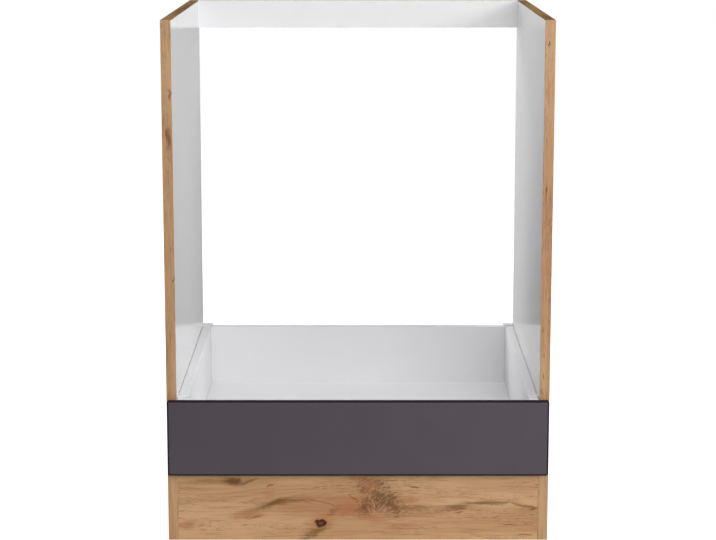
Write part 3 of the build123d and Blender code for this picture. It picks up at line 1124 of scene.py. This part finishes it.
@dataclass
class Carcass(Assembly):
    """The fixed boards, their bands and fittings, and the oven seats.

    Attributes:
        side_tones: The oak of the side panels and their front bands.
        side_shift: Where their figure is read.
        side_roughness: How matt the panels' outer faces are.
        top_tones: The darker oak of the top bands.
        top_shift: Where their figure is read.
        plinth_shift: Where the plinth board's figure is read.
        plinth_marks: The plinth board's knots and stains.
        strip_marks: The knots and stains at the panels' front edges.
    """

    side_tones: OakTones = OakTones(
        light=linear(201, 162, 121), middle=linear(187, 145, 105), dark=linear(147, 105, 70)
    )
    side_shift: Place = (0.31, 0.17, 0.05)
    side_roughness: float = 0.42
    top_tones: OakTones = OakTones(
        light=linear(162, 127, 84), middle=linear(124, 95, 57), dark=linear(86, 60, 33)
    )
    top_shift: Place = (0.5, 0.2, 0.0)
    plinth_shift: Place = (0.12, 0.4, 0.0)
    plinth_marks: tuple[Mark, ...] = (
        Mark(-0.198, 0.096, 0.022, 0.008, 0.95, Tone.DARK, -6.0),
        Mark(-0.196, 0.097, 0.009, 0.0055, 0.7, Tone.CRACK, -12.0),
        Mark(-0.173, 0.0955, 0.016, 0.003, 0.75, Tone.DARK, 17.0),
        Mark(-0.24, 0.095, 0.033, 0.005, 0.55, Tone.OLIVE, 2.0),
        Mark(-0.142, 0.078, 0.015, 0.006, 0.45, Tone.RED, 0.0),
        Mark(-0.137, 0.0885, 0.006, 0.0016, 0.6, Tone.CRACK, 30.0),
        Mark(-0.133, 0.061, 0.024, 0.0015, 0.85, Tone.CRACK, 20.0),
        Mark(-0.14, 0.057, 0.056, 0.0065, 0.85, Tone.OLIVE, 15.0),
        Mark(-0.128, 0.063, 0.024, 0.004, 0.8, Tone.DARK, 20.0),
        Mark(-0.095, 0.065, 0.024, 0.0028, 0.6, Tone.DARK, -6.0),
        Mark(-0.172, 0.04, 0.03, 0.0065, 0.7, Tone.RED, 8.0),
        Mark(-0.165, 0.037, 0.016, 0.0022, 0.6, Tone.DARK, 12.0),
        Mark(-0.271, 0.024, 0.015, 0.009, 0.5, Tone.RED, 0.0),
        Mark(-0.058, 0.03, 0.026, 0.015, 0.75, Tone.RED, 20.0),
        Mark(-0.07, 0.012, 0.024, 0.008, 0.8, Tone.DARK, 24.0),
        Mark(-0.0593, 0.0279, 0.009, 0.0082, 1.0, Tone.KNOT, 10.0),
        Mark(-0.064, 0.015, 0.021, 0.006, 0.75, Tone.OLIVE, 22.0),
        Mark(-0.038, 0.048, 0.013, 0.006, 0.8, Tone.DARK, 35.0),
        Mark(-0.012, 0.051, 0.022, 0.009, 0.75, Tone.DARK, 8.0),
        Mark(-0.008, 0.056, 0.043, 0.018, 0.85, Tone.RED, 14.0),
        Mark(-0.056, 0.062, 0.032, 0.0012, 0.45, Tone.CRACK, -13.0),
        Mark(-0.006, 0.068, 0.009, 0.0012, 0.6, Tone.CRACK, -28.0),
        Mark(0.026, 0.083, 0.033, 0.018, 1.0, Tone.SWIRL, -28.0),
        Mark(0.048, 0.06, 0.028, 0.016, 1.0, Tone.SWIRL, -24.0),
        Mark(0.018, 0.056, 0.02, 0.014, 0.95, Tone.SWIRL, 40.0),
        Mark(0.03, 0.076, 0.014, 0.006, 0.65, Tone.DARK, -30.0),
        Mark(0.054, 0.056, 0.013, 0.005, 0.7, Tone.CRACK, -32.0),
        Mark(0.012, 0.054, 0.006, 0.006, 0.55, Tone.CRACK, 0.0),
        Mark(0.01, 0.093, 0.026, 0.012, 0.5, Tone.RED, -32.0),
        Mark(0.018, 0.036, 0.036, 0.007, 0.6, Tone.RED, -14.0),
        Mark(0.085, 0.066, 0.017, 0.006, 0.75, Tone.RED, 0.0),
        Mark(0.15, 0.07, 0.064, 0.0016, 0.6, Tone.RED, 1.0),
        Mark(0.088, 0.087, 0.01, 0.0013, 0.7, Tone.CRACK, -4.0),
        Mark(0.094, 0.052, 0.038, 0.004, 0.8, Tone.OLIVE, -2.0),
        Mark(0.156, 0.054, 0.033, 0.006, 0.8, Tone.DARK, 9.0),
        Mark(0.215, 0.062, 0.042, 0.0045, 0.75, Tone.DARK, 2.0),
        Mark(0.262, 0.057, 0.026, 0.0028, 0.75, Tone.DARK, -10.0),
        Mark(0.275, 0.051, 0.01, 0.0026, 0.8, Tone.DARK, 16.0),
        Mark(0.16, 0.046, 0.007, 0.0014, 0.65, Tone.CRACK, 6.0),
        Mark(0.066, 0.021, 0.028, 0.0055, 0.7, Tone.RED, 4.0),
        Mark(0.241, 0.025, 0.011, 0.0013, 0.6, Tone.CRACK, -5.0),
        Mark(0.265, 0.008, 0.012, 0.0013, 0.55, Tone.CRACK, -4.0),
    )
    strip_marks: tuple[Mark, ...] = (
        Mark(-0.29, 0.639, 0.019, 0.006, 0.85, Tone.DARK),
        Mark(-0.2865, 0.708, 0.012, 0.002, 0.8, Tone.DARK),
        Mark(-0.288, 0.467, 0.005, 0.0012, 0.8, Tone.CRACK),
        Mark(-0.286, 0.421, 0.006, 0.0012, 0.8, Tone.CRACK),
        Mark(0.29, 0.715, 0.026, 0.004, 0.55, Tone.RED),
        Mark(0.289, 0.561, 0.009, 0.0012, 0.95, Tone.CRACK),
        Mark(0.289, 0.783, 0.005, 0.001, 0.85, Tone.CRACK),
        Mark(0.288, 0.34, 0.005, 0.001, 0.8, Tone.CRACK),
        Mark(0.29, 0.3, 0.004, 0.001, 0.8, Tone.CRACK),
        Mark(0.289, 0.267, 0.005, 0.001, 0.8, Tone.CRACK),
        Mark(0.287, 0.242, 0.005, 0.001, 0.8, Tone.CRACK),
    )

    def build(self) -> None:
        """Dresses every fixed piece."""
        self._dress_oak()
        self._dress_white_boards()
        self._dress_fittings()

    def _dress_oak(self) -> None:
        """Dresses the side panels, their bands and the plinth board."""
        low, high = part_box("side_panel_right")
        look = (self.strip_marks, self.side_tones, self.side_shift)
        outside = Oak("oak_outside", Grain.UPRIGHT, *look, self.side_roughness)
        panel = SidePanel("oak_and_white_panel", low.x, high.x, outside)
        self.dress(panel.material(), "side_panel_left", "side_panel_right")
        band = Oak("oak_front_band", Grain.UPRIGHT, *look)
        self.dress(band.material(), "front_edge_band_left", "front_edge_band_right")
        look = ((), self.top_tones, self.top_shift)
        top = Oak("oak_top_band", Grain.FRONT_TO_BACK, *look, roughness=0.8, specular=0.04)
        self.dress(top.material(), "top_edge_band_left", "top_edge_band_right")
        plinth = Oak("oak_plinth", Grain.SIDEWAYS, self.plinth_marks, shift=self.plinth_shift)
        self.dress(plinth.material(), "plinth_board")

    def _dress_white_boards(self) -> None:
        """Dresses the bottom board, the rail and the white bands."""
        low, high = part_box("bottom_board")
        floor = CoatedBoard("white_bottom_board", low.z, high.z, Face.TOP_AND_UNDERSIDE)
        self.dress(floor.material(), "bottom_board")
        low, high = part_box("rear_top_rail")
        rail = CoatedBoard("white_rail_board", low.y, high.y, Face.FRONT_AND_BACK)
        self.dress(rail.material(), "rear_top_rail")
        band = Satin("white_edge_band", linear(238, 238, 239), 0.3, mottle=0.01)
        self.dress(band.material(), "rail_edge_band", "drawer_back_edge_band")

    def _dress_fittings(self) -> None:
        """Dresses the dowels, bolts, locks, screws, pins, oven supports and runners."""
        beech = Satin("beech", linear(214, 180, 132), 0.6, relief=0.00003, grain=300.0)
        self.dress(beech.material(), "wood_dowels")
        zinc = Zinc("zinc_plate").material()
        cast = Zinc("cast_zinc", linear(170, 172, 176), 0.5, spangle=700.0).material()
        self.dress(zinc, "cam_bolts", "runner_screws")
        self.dress(zinc, "front_roller_pin_left", "front_roller_pin_right")
        self.dress(cast, "cam_locks")
        powder = Satin("white_powder_coat", COAT_WHITE, 0.36, 0.00002, 420.0, mottle=0.01)
        coat = powder.material()
        for end in ENDS:
            for side in SIDES:
                self.dress(coat, f"oven_support_{end}_{side}")
        self.dress(coat, "cabinet_runner_left", "cabinet_runner_right")


@dataclass
class Drawer(Assembly):
    """The pull-out drawer: its front, steel sides, boards and brackets."""

    def build(self) -> None:
        """Dresses every piece that moves with the drawer."""
        low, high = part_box("drawer_front")
        self.dress(FrontBoard("anthracite_front", low, high).material(), "drawer_front")
        low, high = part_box("drawer_bottom")
        floor = CoatedBoard("white_drawer_floor", low.z, high.z, Face.TOP_AND_UNDERSIDE)
        self.dress(floor.material(), "drawer_bottom")
        low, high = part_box("drawer_back")
        back = CoatedBoard("white_drawer_back", low.y, high.y, Face.FRONT_AND_BACK)
        self.dress(back.material(), "drawer_back")
        steel = Satin("white_drawer_steel", COAT_WHITE, 0.34, 0.00002, 420.0, mottle=0.01)
        self.dress(steel.material(), "drawer_side_left", "drawer_side_right")
        zinc = Zinc("zinc_plated_steel").material()
        for side in SIDES:
            self.dress(zinc, f"front_bracket_{side}", f"back_bracket_{side}")
            self.dress(zinc, f"rear_roller_pin_{side}")
        self.dress(zinc, "front_bracket_screws", "back_bracket_screws", "drawer_bottom_screws")
        rubber = Satin("clear_rubber", linear(214, 216, 216), 0.25, through=0.6)
        self.dress(rubber.material(), "bumper_pads")


@dataclass
class Rollers(Assembly):
    """The four plastic wheels."""

    def build(self) -> None:
        """Dresses the wheels."""
        nylon = Satin("white_nylon", linear(222, 221, 216), 0.38, grain=900.0)
        names = [f"{end}_roller_{side}" for end in ENDS for side in SIDES]
        self.dress(nylon.material(), *names)


# The studio


@dataclass(frozen=True)
class Lamp:
    """One soft lamp.

    Attributes:
        name: Its name.
        place: Where it hangs.
        aim: The point that it faces.
        width: Its width, in metres.
        height: Its height, in metres.
        power: Its power, in watts.
        mirrored: Whether it shows in reflections.
    """

    name: str
    place: Place
    aim: Place
    width: float
    height: float
    power: float
    mirrored: bool = True

    def hang(self) -> None:
        """Hangs the lamp."""
        data = bpy.data.lights.new(self.name, "AREA")
        data.shape = "RECTANGLE"
        data.size = self.width
        data.size_y = self.height
        data.energy = self.power
        lamp = bpy.data.objects.new(self.name, data)
        lamp.location = self.place
        towards = Vector(self.aim) - Vector(self.place)
        lamp.rotation_euler = towards.to_track_quat("-Z", "Y").to_euler()
        lamp.visible_glossy = self.mirrored
        bpy.context.scene.collection.objects.link(lamp)


def flat_sheet(
    name: str,
    half: tuple[float, float],
    material: bpy.types.Material,
    place: Place = (0.0, 0.0, 0.0),
    upright: bool = False,
) -> bpy.types.Object:
    """Makes a flat sheet for the studio.

    Args:
        name: Its name.
        half: Half its width and half its height.
        material: Its material.
        place: Its middle.
        upright: Whether it stands, facing the front, or lies flat.

    Returns:
        The sheet.
    """
    shape = bmesh.new()
    bmesh.ops.create_grid(shape, x_segments=1, y_segments=1, size=1.0)
    bmesh.ops.scale(shape, vec=(*half, 1.0), verts=shape.verts)
    if upright:
        turn = Matrix.Rotation(math.pi / 2, 3, "X")
        bmesh.ops.rotate(shape, matrix=turn, verts=shape.verts)
    bmesh.ops.translate(shape, vec=place, verts=shape.verts)
    mesh = bpy.data.meshes.new(name)
    shape.to_mesh(mesh)
    shape.free()
    mesh.materials.append(material)
    sheet = bpy.data.objects.new(name, mesh)
    bpy.context.scene.collection.objects.link(sheet)
    return sheet


@dataclass(frozen=True)
class Card:
    """A glowing card, no lamp, that only reflections show: its graded glow is a painted reflection,
    darker or brighter, on the glossy faces.

    Attributes:
        name: Its name.
        place: Its middle.
        half: Half its width and half its height.
        low: How bright it is at its lower left and lower right.
        high: How bright it is at its upper left and upper right.
        sides: The places between which it goes from left to right.
        fade: The heights between which it goes from low to high.
        upright: Whether it stands, facing the front, or lies flat.
    """

    name: str
    place: Place
    half: tuple[float, float]
    low: tuple[float, float]
    high: tuple[float, float]
    sides: tuple[float, float]
    fade: tuple[float, float] = (0.05, 0.65)
    upright: bool = True

    def stand(self) -> None:
        """Puts the card in its place."""
        card = flat_sheet(self.name, self.half, self._material(), self.place, self.upright)
        card.visible_camera = False
        card.visible_diffuse = False
        card.visible_transmission = False
        card.visible_shadow = False

    def _material(self) -> bpy.types.Material:
        """Makes the card's graded glow, a painted reflection.

        Returns:
            The material.
        """
        dressing = Dressing(self.name)
        g = dressing.graph
        x, _, z = g.split(g.place())
        across = x.step(*self.sides)
        low = across * (self.low[1] - self.low[0]) + self.low[0]
        high = across * (self.high[1] - self.high[0]) + self.high[0]
        # Painted reflection: the glow grades from side to side and from bottom to top, and shows
        # only in glossy faces.
        reflected_glow = low + (high - low) * z.step(*self.fade)
        glow = g.add("ShaderNodeEmission", None, {"Color": g.join(reflected_glow, reflected_glow, reflected_glow)})
        return dressing.end(g.out(glow))


@dataclass
class Studio:
    """The floor, the lamps, the backdrop and the camera.

    Attributes:
        camera_place: Where the camera stands.
        camera_pitch: How far it tilts, in degrees, with 90 level.
        lens: Its focal length, in millimetres.
        sensor: Its sensor's width, in millimetres.
        floor_half: Half the floor's side.
        floor_colour: The floor's colour.
        floor_glow: How much brighter the floor looks than it lights.
        ambient: Strength of the even light from all around.
        lamps: The soft lamps.
        cards: The glowing cards that only reflections show, which lay painted reflections on the
            glossy faces.
    """

    camera_place: Place = (0.0, -3.41705, 1.0162)
    camera_pitch: float = 79.52
    lens: float = 103.78
    sensor: float = 36.0
    floor_half: float = 12.0
    floor_colour: Colour = (0.8, 0.8, 0.8)
    floor_glow: float = 0.88
    ambient: float = 0.16
    lamps: tuple[Lamp, ...] = (
        Lamp("front", (0.62, -3.6, 1.55), (0.0, 0.0, 0.45), 2.2, 0.5, 36.0),
        Lamp("high", (0.62, -3.51, 2.68), (0.0, 0.0, 0.45), 2.2, 1.4, 10.0),
        Lamp("key", (3.02, -2.54, 1.85), (0.0, 0.0, 0.45), 1.7, 1.0, 55.0),
        Lamp("rear_right", (2.0, 2.4, 1.1), (0.0, 0.0, 0.5), 1.7, 1.4, 22.0, False),
        Lamp("rear_left", (-2.5, 2.0, 1.1), (0.0, 0.0, 0.5), 1.7, 1.4, 50.0, False),
        Lamp("top", (0.1, -0.5, 3.2), (0.0, 0.0, 0.5), 2.0, 2.0, 22.0, False),
    )
    cards: tuple[Card, ...] = (
        # Painted reflections: the cards behind the unit give the inner faces darker reflections,
        # and the floor card gives a reflection that grows brighter to the right.
        Card("left_reflection_glow", (-0.275, 0.9, 0.6), (0.325, 0.6), (0.3, 0.3), (0.44, 0.44), (-0.5, 0.0)),
        Card("right_reflection_glow", (0.15, 0.9, 0.6), (0.1, 0.6), (0.1, 0.32), (0.42, 0.56), (0.16, 0.24)),
        Card(
            "floor_reflection_glow",
            (0.0, -1.8, 0.01),
            (0.9, 1.2),
            (0.0, 1.6),
            (0.0, 1.6),
            (-0.4, 0.5),
            upright=False,
        ),
    )

    def build(self) -> None:
        """Sets up the whole studio."""
        self._camera()
        self._world()
        self._floor()
        for card in self.cards:
            card.stand()
        for lamp in self.lamps:
            lamp.hang()
        bpy.context.scene.view_settings.view_transform = "Standard"

    def _camera(self) -> None:
        """Stands the camera where the photograph was taken from."""
        data = bpy.data.cameras.new("camera")
        data.lens = self.lens
        data.sensor_width = self.sensor
        camera = bpy.data.objects.new("camera", data)
        camera.location = self.camera_place
        camera.rotation_euler = (math.radians(self.camera_pitch), 0.0, 0.0)
        bpy.context.scene.collection.objects.link(camera)
        bpy.context.scene.camera = camera

    @staticmethod
    def _seen(g: Graph) -> Term:
        """Finds what the camera sees directly, in a mirror or through glass.

        Args:
            g: The graph of the material or the world.

        Returns:
            1 where it does, and 0 where the surface or the world only gives light.
        """
        path = g.add("ShaderNodeLightPath")
        direct = g.out(path, "Is Camera Ray")
        mirrored = g.out(path, "Is Glossy Ray")
        through = g.out(path, "Is Transmission Ray")
        return direct.highest(mirrored).highest(through)

    def _world(self) -> None:
        """Makes the background white to look at and soft as a light."""
        world = bpy.data.worlds.new("backdrop")
        world.use_nodes = True
        bpy.context.scene.world = world
        g = Graph(world.node_tree)
        strength = self.ambient + self._seen(g) * (1.0 - self.ambient)
        glow = g.add("ShaderNodeBackground", None, {"Color": BRIGHT, "Strength": strength})
        g.add("ShaderNodeOutputWorld", None, {"Surface": g.out(glow)})

    def _floor(self) -> None:
        """Lays a pale floor that shows white and keeps the shadow."""
        dressing = Dressing("pale_floor")
        g = dressing.graph
        plain = g.add("ShaderNodeBsdfDiffuse", None, {"Color": self.floor_colour})
        strength = self._seen(g) * self.floor_glow
        glow = g.add("ShaderNodeEmission", None, {"Color": BRIGHT, "Strength": strength})
        surface = g.out(g.add("ShaderNodeAddShader", None, {0: g.out(plain), 1: g.out(glow)}))
        floor = flat_sheet("floor", (self.floor_half, self.floor_half), dressing.end(surface))


def main() -> None:
    """Loads the frame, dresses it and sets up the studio."""
    logging.basicConfig(level=logging.INFO, format="%(name)s: %(message)s")
    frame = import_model()
    Carcass(frame["nodes"]).build()
    Drawer(frame["nodes"]).build()
    Rollers(frame["nodes"]).build()
    Studio().build()


if __name__ == "__main__":
    main()
